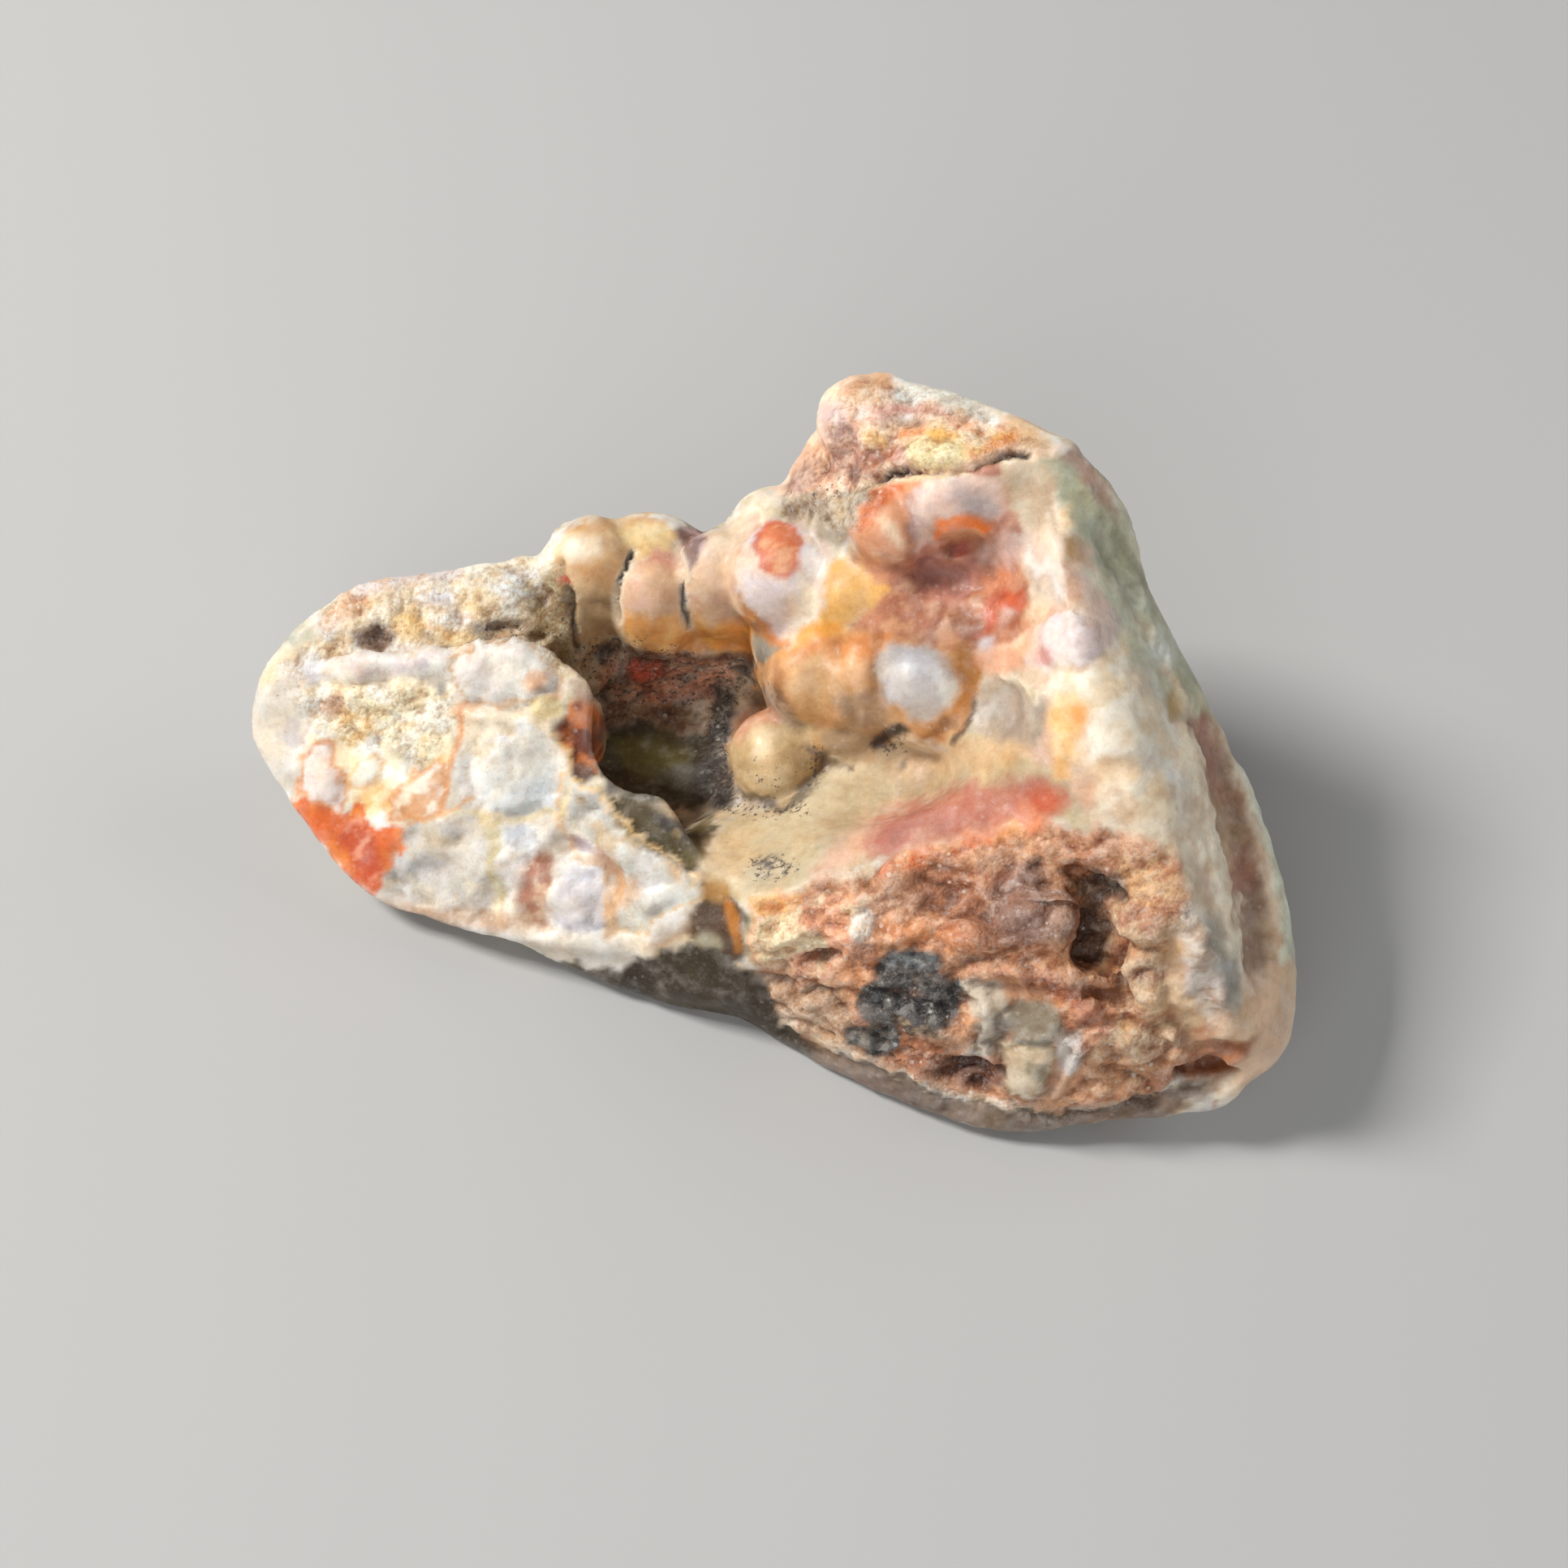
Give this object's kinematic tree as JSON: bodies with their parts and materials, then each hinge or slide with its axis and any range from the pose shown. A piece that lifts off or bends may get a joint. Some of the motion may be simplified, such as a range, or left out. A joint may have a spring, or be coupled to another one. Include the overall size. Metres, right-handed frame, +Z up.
{
  "type": "rough ocean jasper",
  "caption": "Rough ocean jasper stone: a low quartz arm and a high ridged end around an open pocket rimmed with rounded chalcedony lumps.",
  "frame": {"origin": "middle of the small flat spot that the stone rests on, at floor height", "axes": "+X along the stone's length towards its high right end, +Y towards its back, +Z up"},
  "size_m": [0.0563, 0.0336, 0.0246],
  "materials": {
    "chalcedony": "waxy to glassy on the lumps and the right side, granular and dull on the crusts and the broken face"
  },
  "bodies": {
    "root": {"ocean_jasper": "chalcedony"}
  },
  "joints": []
}
